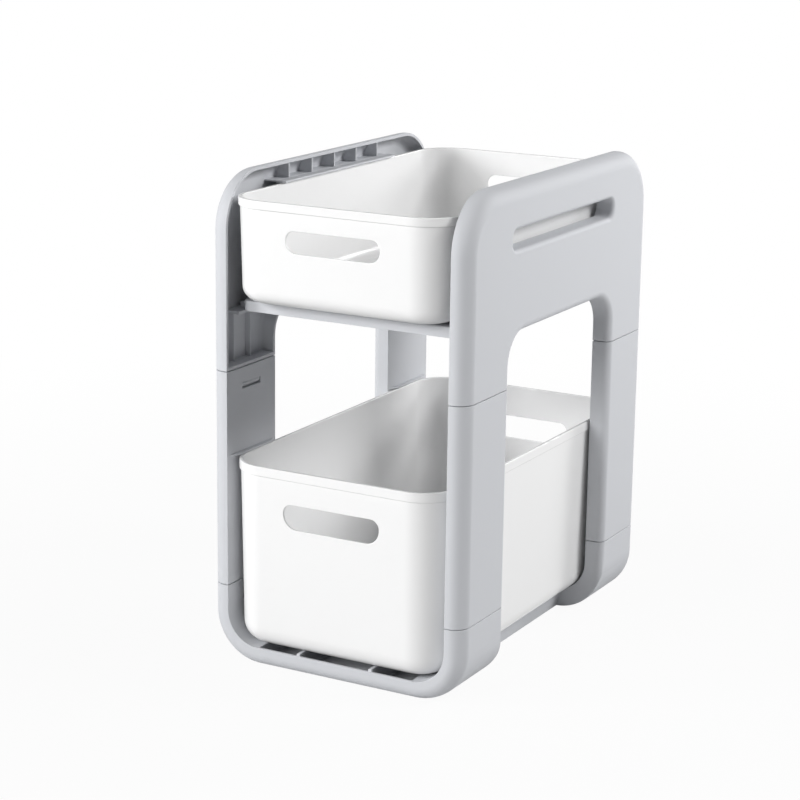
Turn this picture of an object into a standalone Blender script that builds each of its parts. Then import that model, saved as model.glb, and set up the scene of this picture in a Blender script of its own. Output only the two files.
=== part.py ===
"""Two-tier storage rack with two pull-out bins, for Blender 4.5.

The frame clips together from plastic mouldings: a base with four stubs, four hollow posts, two end
panels with handle slots, and a shelf carried between the panels. Each bin slides along Y on two rails.
All sizes are in metres, +Z is up, the front of the rack faces -Y, and the origin is the middle of the
footprint on the floor.
"""

from math import cos, pi, radians, sin, tan

import bmesh
import bpy

# Whole rack
FRAME_WIDTH = 0.250
FRAME_DEPTH = 0.361
FRAME_HEIGHT = 0.435
GAP = 0.0003
WALL = 0.003
RIB = 0.0018
OVERRUN = 0.004

# Legs, shared by base stubs, posts and end panels
LEG_THICKNESS = 0.0173
LEG_DEPTH = 0.078
LEG_OUTER_FILLET = 0.014
LEG_ARCH_FILLET = 0.007
FILLET_SHARE = 0.9
LOWER_SEAM = 0.070
UPPER_SEAM_DROP = 0.172
PLUG_DEPTH = 0.024
PLUG_WALL = 0.002
LATCH_DROP = 0.0167
LATCH_WIDTH = 0.029
LATCH_HEIGHT = 0.0052
HOOK_SINK = 0.0006

# Base
PAD_PROUD = 0.0005
PLATE_TOP = 0.0175
PLATE_INSET = 0.0415
BASE_INNER_RADIUS = 0.030
BASE_OUTER_RADIUS = 0.046
BASE_FILLET = 0.011
FLOOR_MARGIN = 0.007
RAIL_OFFSET = 0.036
RAIL_WIDTH = 0.0035
BASE_RAIL_HEIGHT = 0.0022
CROSS_RIB_HEIGHT = 0.006
CROSS_RIB_PITCH = 0.060

# Foot pads
PAD_RADIUS = 0.008
PAD_THICKNESS = 0.002
PAD_MARGIN = 0.0025

# Guide ledges that keep the bins' rims down
LEDGE_CLEARANCE = 0.0005
LEDGE_ROOT = 0.001
LEDGE_SETBACK = 0.0005
POST_LEDGE = {"proud": 0.0047, "height": 0.0016, "lead": 0.0125}
PANEL_LEDGE = {"proud": 0.008, "height": 0.002, "lead": 0.002}
PANEL_LEDGE_LENGTH = 0.199

# End panels
PANEL_CORNER_RADIUS = 0.050
ARCH_DROP = 0.1264
ARCH_RADIUS = 0.028
FOOT_LIP = 0.003
HANDLE_LENGTH = 0.202
HANDLE_HEIGHT = 0.0175
HANDLE_DROP = 0.0462
HANDLE_RADIUS = 0.0075
HANDLE_LIP = 0.004
COLLAR_WALL = 0.0025
RIB_PITCH = 0.039
RIB_RECESS = 0.0008
LEG_RIB_RECESS = 0.009

# Shelf
SHELF_SETBACK = 0.0205
SHELF_DROP = 0.1113
SHELF_HEIGHT = 0.0092
SHELF_END_CLEARANCE = 0.0007
SHELF_CORNER_RADIUS = 0.010
SHELF_EDGE_FILLET = 0.0015
SHELF_RAIL_HEIGHT = 0.0025
SHELF_COLUMNS = 5
SHELF_ROWS = 8
TONGUE_REACH = 0.0105
TONGUE_HEIGHT = 0.005
TONGUE_SETBACK = 0.006
SHELF_LEDGE_DROP = 0.0107

# Bins, whose slot sizes count down from the rim
BIN_WALL = 0.002
BIN_SIDE_CLEARANCE = 0.0013
BIN_OVERHANG = 0.0075
LOWER_RIM_DROP = 0.0766
UPPER_RIM_DROP = 0.0184
BIN_CORNER_RADIUS = 0.035
RIM_PROUD = 0.0013
RIM_ROUNDING = 0.0009
LOWER_BIN = {
    "rim": 0.0085,
    "draft": radians(1.0),
    "floor_radius": 0.019,
    "slot_foot": 0.0521,
    "slot_head": 0.0301,
    "slot_length": 0.094,
    "slot_low_radius": 0.0130,
    "slot_high_radius": 0.0082,
}
UPPER_BIN = {
    "rim": 0.0075,
    "draft": radians(1.5),
    "floor_radius": 0.0135,
    "slot_foot": 0.0419,
    "slot_head": 0.0229,
    "slot_length": 0.090,
    "slot_low_radius": 0.0100,
    "slot_high_radius": 0.0082,
}

# Facets of a quarter turn, on corners of growing size
FINE_STEPS = 3
EDGE_STEPS = 4
CORNER_STEPS = 8

# Derived places
UPPER_SEAM = FRAME_HEIGHT - UPPER_SEAM_DROP
ARCH_TOP = FRAME_HEIGHT - ARCH_DROP
HANDLE_MIDDLE = FRAME_HEIGHT - HANDLE_DROP
SHELF_TOP = FRAME_HEIGHT - SHELF_DROP
SHELF_LEDGE_TOP = SHELF_TOP - SHELF_LEDGE_DROP
LOWER_RIM_TOP = UPPER_SEAM - LOWER_RIM_DROP
UPPER_RIM_TOP = FRAME_HEIGHT - UPPER_RIM_DROP
LEG_INNER = FRAME_WIDTH / 2 - LEG_THICKNESS
LEG_MIDDLE_X = FRAME_WIDTH / 2 - LEG_THICKNESS / 2
LEG_MIDDLE_Y = FRAME_DEPTH / 2 - LEG_DEPTH / 2
ARCH_HALF = FRAME_DEPTH / 2 - LEG_DEPTH
PLATE_HALF_WIDTH = FRAME_WIDTH / 2 - PLATE_INSET
BIN_HALF_WIDTH = LEG_INNER - BIN_SIDE_CLEARANCE
BIN_HALF_LENGTH = FRAME_DEPTH / 2 + BIN_OVERHANG
SIDES = (("left", -1), ("right", 1))
ENDS = (("front", -1), ("rear", 1))

COLOURS = {
    "frame": ((0.56, 0.57, 0.60), 0.42),
    "bin": ((0.86, 0.86, 0.86), 0.30),
    "pad": ((0.09, 0.09, 0.10), 0.85),
}


def material(name, look):
    colour, roughness = COLOURS[look]
    made = bpy.data.materials.new(name)
    made.use_nodes = True
    shader = made.node_tree.nodes["Principled BSDF"]
    shader.inputs["Base Color"].default_value = (*colour, 1)
    shader.inputs["Roughness"].default_value = roughness
    shader.inputs["Metallic"].default_value = 0
    made.diffuse_color = (*colour, 1)
    return made


def turn(centre, radius, start, steps, quarters=1):
    """Points and outward normals along an arc of quarter turns that starts at an angle in degrees."""
    angles = [radians(start) + quarters * pi / 2 * i / steps for i in range(steps + 1)]
    return [
        (centre[0] + radius * cos(a), centre[1] + radius * sin(a), cos(a), sin(a)) for a in angles
    ]


def mesh_object(name, rings):
    """A closed body lofted through rings of equally many points, with a flat face on each end."""
    bm = bmesh.new()
    levels = [[bm.verts.new(point) for point in ring] for ring in rings]
    count = len(levels[0])
    for low, high in zip(levels, levels[1:]):
        for i in range(count):
            j = (i + 1) % count
            bm.faces.new((low[i], low[j], high[j], high[i]))
    bm.faces.new(levels[0][::-1])
    bm.faces.new(levels[-1])
    bmesh.ops.recalc_face_normals(bm, faces=bm.faces)
    mesh = bpy.data.meshes.new(name)
    bm.to_mesh(mesh)
    bm.free()
    made = bpy.data.objects.new(name, mesh)
    bpy.context.collection.objects.link(made)
    return made


def box(low, high):
    """A plain block between two opposite corners."""
    corners = ((low[0], low[1]), (high[0], low[1]), (high[0], high[1]), (low[0], high[1]))
    return mesh_object("block", [[(x, y, z) for x, y in corners] for z in (low[2], high[2])])


def prism(outline, axis, start, end):
    """An outline in the plane across an axis, run along it. X takes (y, z), Y takes (x, z), Z (x, y)."""
    place = {
        "X": lambda u, v, w: (w, u, v),
        "Y": lambda u, v, w: (u, w, v),
        "Z": lambda u, v, w: (u, v, w),
    }[axis]
    return mesh_object("prism", [[place(p[0], p[1], w) for p in outline] for w in (start, end)])


def combine(target, others, operation):
    """Joins to, or cuts from, the target each of the other bodies, which are used up."""
    for other in others:
        modifier = target.modifiers.new(operation.title(), "BOOLEAN")
        modifier.operation = operation
        modifier.object = other
    bpy.context.view_layer.update()
    evaluated = target.evaluated_get(bpy.context.evaluated_depsgraph_get())
    target.modifiers.clear()
    target.data = bpy.data.meshes.new_from_object(evaluated)
    for other in others:
        bpy.data.objects.remove(other)
    return target


def cut(target, *others):
    return combine(target, others, "DIFFERENCE")


def join(target, *others):
    return combine(target, others, "UNION")


def finish(made, name, look, parent, location=(0, 0, 0)):
    """Names a finished body, gives it its material and smooth shading, and sets its place."""
    made.name = name
    made.data.name = name
    made.data.materials.clear()
    made.data.materials.append(material(name, look))
    made.data.shade_smooth()
    made.data.set_sharp_from_angle(angle=radians(30))
    made.location = location
    made.parent = parent
    return made


def leg_plan(side, end, inset=0):
    """Plan of one leg about its own middle, with walls moved in by the inset."""
    half_x = LEG_THICKNESS / 2 - inset
    half_y = LEG_DEPTH / 2 - inset
    outer = min(LEG_OUTER_FILLET - inset, 2 * half_x * FILLET_SHARE)
    arch = min(LEG_ARCH_FILLET - inset, 2 * half_x * FILLET_SHARE)
    points = [(-half_x, -half_y)]
    points += [p[:2] for p in turn((half_x - arch, -half_y + arch), arch, -90, EDGE_STEPS)]
    points += [p[:2] for p in turn((half_x - outer, half_y - outer), outer, 0, EDGE_STEPS)]
    points += [(-half_x, half_y)]
    return [(side * x, end * y) for x, y in points]


def leg_column(side, end, inset, low, high, middle=(0, 0)):
    outline = [(x + middle[0], y + middle[1]) for x, y in leg_plan(side, end, inset)]
    return prism(outline, "Z", low, high)


def latch_window(side, seam, inner_x, middle_y):
    """Cutter for the window below a seam, through a leg's inner wall."""
    middle = seam - LATCH_DROP
    x = sorted((side * (inner_x - OVERRUN), side * (inner_x + WALL + GAP / 2)))
    return box(
        (x[0], middle_y - LATCH_WIDTH / 2, middle - LATCH_HEIGHT / 2),
        (x[1], middle_y + LATCH_WIDTH / 2, middle + LATCH_HEIGHT / 2),
    )


def plug(side, end, seam, inner_x, middle):
    """Hollow plug that drops into the leg below a seam, with the hook that snaps into its window."""
    plug_inset = WALL + GAP
    low = seam - PLUG_DEPTH
    top = seam + GAP + FOOT_LIP / 2
    body = leg_column(side, end, plug_inset, low, top, middle)
    hook_middle = seam - LATCH_DROP
    hook_half = LATCH_HEIGHT / 2 - GAP
    tip = inner_x + HOOK_SINK
    root = inner_x + plug_inset + PLUG_WALL / 2
    profile = [
        (side * root, hook_middle - hook_half),
        (side * (inner_x + WALL), hook_middle - hook_half),
        (side * tip, hook_middle),
        (side * tip, hook_middle + hook_half),
        (side * root, hook_middle + hook_half),
    ]
    hook_end = LATCH_WIDTH / 2 - GAP
    hook = prism(profile, "Y", middle[1] - hook_end, middle[1] + hook_end)
    return join(body, hook)


def rim_guide(side, inner_x, low, sizes, half):
    """Thin ledge with slanting ends that stands out of an inner face, just over a bin's rim."""
    root = side * (inner_x + LEDGE_ROOT)
    edge = side * (inner_x - sizes["proud"])
    edge_half = half - sizes["lead"]
    outline = [(root, -half), (edge, -edge_half), (edge, edge_half), (root, half)]
    return prism(outline, "Z", low, low + sizes["height"])


def faced_outline(outline, inset):
    """Moves an outline with normals and edge fillets in by a wall, which takes as much off each fillet."""
    return [
        (u - nu * inset, v - nv * inset, nu, nv, max(fillet - inset, 0))
        for u, v, nu, nv, fillet in outline
    ]


def fillet_ring(outline, turned):
    """One ring of a filleted face edge: (u, v, depth below the face) at an angle from 0 to a quarter."""
    return [
        (
            u - nu * fillet * (1 - cos(turned)),
            v - nv * fillet * (1 - cos(turned)),
            fillet * (1 - sin(turned)),
        )
        for u, v, nu, nv, fillet in outline
    ]


def quarter(steps):
    return [pi / 2 * i / steps for i in range(steps + 1)]


def base_outline():
    """Front view of the base: up the outside of one stub, down its inside, across and back again."""
    bottom = PAD_PROUD
    half = FRAME_WIDTH / 2
    outer_middle = (half - BASE_OUTER_RADIUS, bottom + BASE_OUTER_RADIUS)
    inner_middle = (LEG_INNER - BASE_INNER_RADIUS, PLATE_TOP + BASE_INNER_RADIUS)
    right = []
    for i, point in enumerate(turn(outer_middle, BASE_OUTER_RADIUS, -90, CORNER_STEPS)):
        share = i / CORNER_STEPS
        fillet = BASE_FILLET + (LEG_OUTER_FILLET - BASE_FILLET) * share
        right.append((*point, fillet))
    right.append((half, LOWER_SEAM, 1, 0, LEG_OUTER_FILLET))
    right.append((LEG_INNER, LOWER_SEAM, -1, 0, 0))
    inner = turn(inner_middle, BASE_INNER_RADIUS, -90, CORNER_STEPS)
    right += [(x, z, -nx, -nz, 0) for x, z, nx, nz in inner[::-1]]
    left = [(-x, z, -nx, nz, fillet) for x, z, nx, nz, fillet in right[::-1]]
    return right + left


def underside_pockets(half_x, half_y, columns, rows, low, high, rib):
    """Cutters for a grid of hollows between ribs, open below."""
    step_x = 2 * half_x / columns
    step_y = 2 * half_y / rows
    pockets = []
    for i in range(columns):
        for j in range(rows):
            x = -half_x + i * step_x
            y = -half_y + j * step_y
            pocket = box(
                (x + rib / 2, y + rib / 2, low), (x + step_x - rib / 2, y + step_y - rib / 2, high)
            )
            pockets.append(pocket)
    return pockets


def pad_places():
    """Middles of the four foot pads, in the corners of the base's flat underside."""
    clear = PAD_RADIUS + GAP + PAD_MARGIN
    x = FRAME_WIDTH / 2 - BASE_OUTER_RADIUS - clear
    y = FRAME_DEPTH / 2 - BASE_FILLET - clear
    return [(s_x * x, s_y * y) for _, s_x in SIDES for _, s_y in ENDS]


def disc(place, radius, low, high):
    steps = 2 * CORNER_STEPS
    outline = turn(place, radius, 0, steps, quarters=4)[:-1]
    return prism(outline, "Z", low, high)


def lengthwise(inset, top):
    """Side view of the base as (y, z), moved in by a wall: level below, with rounded lower ends."""
    low = PAD_PROUD + inset
    radius = BASE_FILLET - inset
    reach = FRAME_DEPTH / 2 - inset
    rear = turn((reach - radius, low + radius), radius, 270, EDGE_STEPS)
    front = turn((radius - reach, low + radius), radius, 180, EDGE_STEPS)
    return [(reach, top), (-reach, top)] + [p[:2] for p in front + rear]


def trough_ribs():
    """Two rails that the lower bin slides on, from rim to rim, and low ribs across the trough."""
    half_x = PLATE_HALF_WIDTH - FLOOR_MARGIN + WALL / 2
    rail = lengthwise(WALL / 2, PLATE_TOP + BASE_RAIL_HEIGHT)
    ribs = []
    for _, side in SIDES:
        x = side * RAIL_OFFSET
        ribs.append(prism(rail, "X", x - RAIL_WIDTH / 2, x + RAIL_WIDTH / 2))
    foot = PAD_PROUD + WALL / 2
    rib_top = PAD_PROUD + WALL + CROSS_RIB_HEIGHT
    for i in range(-2, 3):
        y = i * CROSS_RIB_PITCH
        ribs.append(box((-half_x, y - RIB / 2, foot), (half_x, y + RIB / 2, rib_top)))
    return ribs


def make_base(parent):
    """Base about the footprint's middle: an open trough with rails, and a hollow stub for each post."""
    outline = base_outline()
    half_y = FRAME_DEPTH / 2
    rings = []
    for angle in quarter(EDGE_STEPS)[::-1]:
        ring = fillet_ring(outline, angle)
        rings.append([(x, -half_y + depth, z) for x, z, depth in ring])
    for angle in quarter(EDGE_STEPS):
        ring = fillet_ring(outline, angle)
        rings.append([(x, half_y - depth, z) for x, z, depth in ring])
    base = mesh_object("base", rings)

    cutters = []
    slant = PLATE_HALF_WIDTH - (FRAME_WIDTH / 2 - BASE_OUTER_RADIUS)
    for _, side in SIDES:
        profile = [
            (side * (PLATE_HALF_WIDTH - slant), -OVERRUN),
            (side * PLATE_HALF_WIDTH, PLATE_TOP),
            (side * PLATE_HALF_WIDTH, LOWER_SEAM + OVERRUN),
            (side * (FRAME_WIDTH / 2 + OVERRUN), LOWER_SEAM + OVERRUN),
            (side * (FRAME_WIDTH / 2 + OVERRUN), -OVERRUN),
        ]
        cutters.append(prism(profile, "Y", -ARCH_HALF, ARCH_HALF))
    trough_half = PLATE_HALF_WIDTH - FLOOR_MARGIN
    trough = lengthwise(WALL, PLATE_TOP + OVERRUN)
    cutters.append(prism(trough, "X", -trough_half, trough_half))
    recess_top = PAD_THICKNESS + GAP
    for place in pad_places():
        cutters.append(disc(place, PAD_RADIUS + GAP, -OVERRUN, recess_top))
    for _, side in SIDES:
        for _, end in ENDS:
            middle = (side * LEG_MIDDLE_X, end * LEG_MIDDLE_Y)
            floor = LOWER_SEAM - PLUG_DEPTH - GAP
            socket = leg_column(side, end, WALL, floor, LOWER_SEAM + OVERRUN, middle)
            cutters.append(socket)
            cutters.append(latch_window(side, LOWER_SEAM, LEG_INNER, middle[1]))
            cutters.append(arch_edge_cutter(side, end))
    base = join(cut(base, *cutters), *trough_ribs())
    return finish(base, "base", "frame", parent)


def arch_edge_cutter(side, end):
    """Rounds a stub's upright edge beside the arch, to match the post above it."""
    radius = LEG_ARCH_FILLET
    corner = (FRAME_WIDTH / 2, ARCH_HALF)
    centre = (corner[0] - radius, corner[1] + radius)
    points = [(corner[0] + OVERRUN, corner[1] - OVERRUN)]
    points.append((centre[0], corner[1] - OVERRUN))
    points += [p[:2] for p in turn(centre, radius, -90, EDGE_STEPS)]
    points.append((corner[0] + OVERRUN, centre[1]))
    outline = [(side * x, end * y) for x, y in points]
    return prism(outline, "Z", -OVERRUN, LOWER_SEAM + OVERRUN)


def make_pads(parent):
    for index, place in enumerate(pad_places()):
        pad = disc((0, 0), PAD_RADIUS, 0, PAD_THICKNESS)
        finish(pad, f"foot_pad_{index + 1}", "pad", parent, (*place, 0))


def make_post(side_name, side, end_name, end, parent):
    """Hollow post about its own middle, from seam to seam, with its plug below and its socket on top."""
    foot = GAP
    top = UPPER_SEAM - LOWER_SEAM
    inner_x = -LEG_THICKNESS / 2
    post = join(leg_column(side, end, 0, foot, top), plug(side, end, 0, inner_x, (0, 0)))
    bore_top = foot + FOOT_LIP + OVERRUN
    bore = leg_column(side, end, WALL + GAP + PLUG_WALL, -PLUG_DEPTH - OVERRUN, bore_top)
    socket = leg_column(side, end, WALL, foot + FOOT_LIP, top + OVERRUN)
    window = latch_window(side, top, inner_x, 0)
    post = cut(post, bore, socket, window)
    ledge_low = LOWER_RIM_TOP + LEDGE_CLEARANCE - LOWER_SEAM
    ledge_half = LEG_DEPTH / 2 - LEDGE_SETBACK
    ledge = rim_guide(side, inner_x, ledge_low, POST_LEDGE, ledge_half)
    post = join(post, ledge)
    place = (side * LEG_MIDDLE_X, end * LEG_MIDDLE_Y, LOWER_SEAM)
    return finish(post, f"post_{end_name}_{side_name}", "frame", parent, place)


def panel_outline(foot):
    """Side view of an end panel as (y, z, normal, fillet): over the top and back under the arch."""
    half = FRAME_DEPTH / 2
    middle_y = half - PANEL_CORNER_RADIUS
    middle_z = FRAME_HEIGHT - PANEL_CORNER_RADIUS
    rear = [(half, foot, 1, 0, LEG_OUTER_FILLET)]
    for point in turn((middle_y, middle_z), PANEL_CORNER_RADIUS, 0, CORNER_STEPS):
        rear.append((*point, LEG_OUTER_FILLET))
    front = [(-y, z, -ny, nz, fillet) for y, z, ny, nz, fillet in rear[::-1]]
    arch_middle = (ARCH_HALF - ARCH_RADIUS, ARCH_TOP - ARCH_RADIUS)
    rear_arch = []
    for y, z, ny, nz in turn(arch_middle, ARCH_RADIUS, 0, CORNER_STEPS):
        rear_arch.append((y, z, -ny, -nz, LEG_ARCH_FILLET))
    rear_arch.insert(0, (ARCH_HALF, foot, -1, 0, LEG_ARCH_FILLET))
    front_arch = [(-y, z, -ny, nz, fillet) for y, z, ny, nz, fillet in rear_arch]
    return rear + front + front_arch + rear_arch[::-1]


def panel_body(side, outline, face, mouth):
    """Solid with filleted outer edges, from the outer face back to the mouth plane."""
    rings = [[(side * mouth, y, z) for y, z, *_ in outline]]
    for angle in quarter(EDGE_STEPS):
        ring = fillet_ring(outline, angle)
        rings.append([(side * (face - depth), y, z) for y, z, depth in ring])
    return mesh_object("panel", rings)


def handle_outline(grow):
    half_y = HANDLE_LENGTH / 2 + grow
    half_z = HANDLE_HEIGHT / 2 + grow
    radius = HANDLE_RADIUS + grow
    points = []
    for start, s_y, s_z in ((0, 1, 1), (90, -1, 1), (180, -1, -1), (270, 1, -1)):
        centre = (s_y * (half_y - radius), HANDLE_MIDDLE + s_z * (half_z - radius))
        points += [p[:2] for p in turn(centre, radius, start, EDGE_STEPS)]
    return points


def panel_blocks(side):
    """Ribs, ledges and the handle collar, as blocks that stay standing in the panel's hollow."""
    face = LEG_THICKNESS + OVERRUN
    x = sorted((side * RIB_RECESS, side * face))
    x_flush = sorted((0, side * face))
    roof = FRAME_HEIGHT + OVERRUN
    collar_top = HANDLE_MIDDLE + HANDLE_HEIGHT / 2
    ledge_low = UPPER_RIM_TOP + LEDGE_CLEARANCE
    ledge_high = ledge_low + PANEL_LEDGE["height"]
    ledge_half = PANEL_LEDGE_LENGTH / 2 - PANEL_LEDGE["lead"]
    shelf_ledge_low = SHELF_LEDGE_TOP - WALL
    tongue_clear = SHELF_LEDGE_TOP + TONGUE_HEIGHT + 2 * GAP
    blocks = []
    for i in range(-2, 3):
        y = i * RIB_PITCH
        blocks.append(box((x[0], y - RIB / 2, collar_top), (x[1], y + RIB / 2, roof)))
        low = (x[0], y - RIB / 2, tongue_clear)
        blocks.append(box(low, (x[1], y + RIB / 2, collar_top - HANDLE_HEIGHT)))
    blocks.append(
        box(
            (x_flush[0], -ledge_half, ledge_low + GAP),
            (x_flush[1], ledge_half, ledge_high - GAP),
        )
    )
    ledge_reach = FRAME_DEPTH / 2 - SHELF_SETBACK
    blocks.append(
        box((x[0], -ledge_reach, shelf_ledge_low), (x[1], ledge_reach, SHELF_LEDGE_TOP))
    )
    x_leg = sorted((side * LEG_RIB_RECESS, side * face))
    for _, end in ENDS:
        for share in (-1, 1):
            y = end * LEG_MIDDLE_Y + share * LEG_DEPTH / 6
            low = (x_leg[0], y - RIB / 2, UPPER_SEAM)
            blocks.append(box(low, (x_leg[1], y + RIB / 2, shelf_ledge_low + RIB)))
    collar = prism(handle_outline(COLLAR_WALL), "X", 0, side * face)
    blocks.append(collar)
    return blocks


def make_panel(side_name, side, parent):
    """End panel about its inner face: an open shell with legs, arch, ribs and a handle slot."""
    foot = UPPER_SEAM + GAP
    outline = panel_outline(foot)
    body = panel_body(side, outline, LEG_THICKNESS, 0)
    inner = faced_outline(panel_outline(foot + FOOT_LIP), WALL)
    inner = [(y, max(z, foot + FOOT_LIP), ny, nz, fillet) for y, z, ny, nz, fillet in inner]
    hollow = panel_body(side, inner, LEG_THICKNESS - WALL, -OVERRUN)
    hollow = cut(hollow, *panel_blocks(side))

    lip_rings = [[(-side * OVERRUN, y, z) for y, z in handle_outline(0)]]
    for angle in quarter(FINE_STEPS):
        grow = HANDLE_LIP * (1 - cos(angle))
        x = LEG_THICKNESS - HANDLE_LIP * (1 - sin(angle))
        lip_rings.append([(side * x, y, z) for y, z in handle_outline(grow)])
    flare = handle_outline(HANDLE_LIP)
    lip_rings.append([(side * (LEG_THICKNESS + OVERRUN), y, z) for y, z in flare])
    handle = mesh_object("handle", lip_rings)

    panel = cut(body, hollow, handle)
    additions = []
    for _, end in ENDS:
        middle = (side * LEG_THICKNESS / 2, end * LEG_MIDDLE_Y)
        made = plug(side, end, UPPER_SEAM, 0, middle)
        bore_inset = WALL + GAP + PLUG_WALL
        bore = leg_column(side, end, bore_inset, UPPER_SEAM - PLUG_DEPTH - OVERRUN, foot, middle)
        additions.append(cut(made, bore))
    guide_low = UPPER_RIM_TOP + LEDGE_CLEARANCE
    additions.append(rim_guide(side, 0, guide_low, PANEL_LEDGE, PANEL_LEDGE_LENGTH / 2))
    panel = join(panel, *additions)
    return finish(panel, f"side_panel_{side_name}", "frame", parent, (side * LEG_INNER, 0, 0))


def rounded_rectangle(half_x, half_y, radius, steps):
    points = []
    for start, s_x, s_y in ((0, 1, 1), (90, -1, 1), (180, -1, -1), (270, 1, -1)):
        centre = (s_x * (half_x - radius), s_y * (half_y - radius))
        points += [p[:2] for p in turn(centre, radius, start, steps)]
    return points


def make_shelf(parent):
    """Shelf about its underside: a ribbed tray with rails on top and a tongue along each end."""
    half_x = LEG_INNER - SHELF_END_CLEARANCE
    half_y = FRAME_DEPTH / 2 - SHELF_SETBACK
    rings = []
    for angle in quarter(FINE_STEPS)[::-1]:
        inset = SHELF_EDGE_FILLET * (1 - cos(angle))
        depth = SHELF_EDGE_FILLET * (1 - sin(angle))
        radius = SHELF_CORNER_RADIUS - inset
        outline = rounded_rectangle(half_x - inset, half_y - inset, radius, EDGE_STEPS)
        rings.append([(x, y, SHELF_HEIGHT - depth) for x, y in outline])
    plan = rounded_rectangle(half_x, half_y, SHELF_CORNER_RADIUS, EDGE_STEPS)
    rings.append([(x, y, 0) for x, y in plan])
    shelf = mesh_object("shelf", rings)
    pockets = underside_pockets(
        half_x - WALL,
        half_y - WALL,
        SHELF_COLUMNS,
        SHELF_ROWS,
        -OVERRUN,
        SHELF_HEIGHT - WALL,
        RIB,
    )
    shelf = cut(shelf, join(pockets[0], *pockets[1:]))
    additions = []
    tongue_low = SHELF_LEDGE_TOP + GAP - (SHELF_TOP - SHELF_HEIGHT)
    tongue_half = half_y - SHELF_CORNER_RADIUS - TONGUE_SETBACK
    for _, side in SIDES:
        x = sorted((side * (half_x - WALL / 2), side * (half_x + TONGUE_REACH)))
        low = (x[0], -tongue_half, tongue_low)
        additions.append(box(low, (x[1], tongue_half, tongue_low + TONGUE_HEIGHT)))
        rail_x = side * RAIL_OFFSET
        rail_half = half_y - SHELF_CORNER_RADIUS
        rail_top = SHELF_HEIGHT + SHELF_RAIL_HEIGHT
        low = (rail_x - RAIL_WIDTH / 2, -rail_half, SHELF_HEIGHT - WALL / 2)
        additions.append(box(low, (rail_x + RAIL_WIDTH / 2, rail_half, rail_top)))
    shelf = join(shelf, *additions)
    return finish(shelf, "shelf", "frame", parent, (0, 0, SHELF_TOP - SHELF_HEIGHT))


def make_bin(name, sizes, bottom, top, parent):
    """Bin about the middle of its underside: drafted walls, rounded floor, rim and two hand slots."""
    height = top - bottom
    rim_low = height - sizes["rim"]
    slope = tan(sizes["draft"])
    floor_radius = sizes["floor_radius"]

    def wall_inset(z, side):
        return RIM_PROUD + side * BIN_WALL + (height - z) * slope

    def ring(inset, z):
        half_x = BIN_HALF_WIDTH - inset
        half_y = BIN_HALF_LENGTH - inset
        outline = rounded_rectangle(half_x, half_y, BIN_CORNER_RADIUS - inset, CORNER_STEPS)
        return [(x, y, z) for x, y in outline]

    rings = []
    outer_foot = wall_inset(floor_radius, 0)
    for angle in quarter(EDGE_STEPS):
        inset = outer_foot + floor_radius * (1 - sin(angle))
        rings.append(ring(inset, floor_radius * (1 - cos(angle))))
    rings.append(ring(wall_inset(rim_low, 0), rim_low))
    rings.append(ring(0, rim_low))
    for angle in quarter(FINE_STEPS):
        inset = RIM_ROUNDING * (1 - cos(angle))
        rings.append(ring(inset, height - RIM_ROUNDING * (1 - sin(angle))))
    mouth = wall_inset(height, 1)
    for angle in quarter(FINE_STEPS)[::-1]:
        inset = mouth - RIM_ROUNDING * (1 - cos(angle))
        rings.append(ring(inset, height - RIM_ROUNDING * (1 - sin(angle))))
    inner_radius = floor_radius - BIN_WALL
    inner_foot = wall_inset(floor_radius, 1)
    for angle in quarter(EDGE_STEPS)[::-1]:
        inset = inner_foot + inner_radius * (1 - sin(angle))
        rings.append(ring(inset, BIN_WALL + inner_radius * (1 - cos(angle))))
    made = mesh_object(name, rings)

    half = sizes["slot_length"] / 2
    low = height - sizes["slot_foot"]
    high = height - sizes["slot_head"]
    outline = []
    for start, s_x, key in (
        (0, 1, "slot_high_radius"),
        (90, -1, "slot_high_radius"),
        (180, -1, "slot_low_radius"),
        (270, 1, "slot_low_radius"),
    ):
        radius = min(sizes[key], half)
        z = high - radius if key == "slot_high_radius" else low + radius
        outline += [p[:2] for p in turn((s_x * (half - radius), z), radius, start, EDGE_STEPS)]
    reach = BIN_HALF_LENGTH + OVERRUN
    made = cut(made, prism(outline, "Y", -reach, reach))
    return finish(made, name, "bin", parent, (0, 0, bottom))


def main():
    for old in list(bpy.data.objects):
        bpy.data.objects.remove(old)
    rack = bpy.data.objects.new("rack", None)
    bpy.context.collection.objects.link(rack)
    make_base(rack)
    make_pads(rack)
    for side_name, side in SIDES:
        for end_name, end in ENDS:
            make_post(side_name, side, end_name, end, rack)
        make_panel(side_name, side, rack)
    make_shelf(rack)
    lower_bottom = PLATE_TOP + BASE_RAIL_HEIGHT + GAP
    upper_bottom = SHELF_TOP + SHELF_RAIL_HEIGHT + GAP
    make_bin("lower_bin", LOWER_BIN, lower_bottom, LOWER_RIM_TOP, rack)
    make_bin("upper_bin", UPPER_BIN, upper_bottom, UPPER_RIM_TOP, rack)


main()
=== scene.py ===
"""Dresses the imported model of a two-tier storage rack: every shell is rebuilt as a fine surface.

Each piece is a closed loft: rings of points, worked out as whole arrays, are joined one to the
next and closed with a flat face at each end. Hollows, slots and windows are cut from it with
further lofts, and its sharp edges are then rounded. All sizes are in metres, +Z is up, and the
front of the rack faces -Y.
"""

from math import cos, pi, radians, sin, tan

import bmesh
import bpy
import numpy as np
from bpy.props import FloatProperty, FloatVectorProperty, IntProperty, PointerProperty
from mathutils import Matrix, Vector


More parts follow.
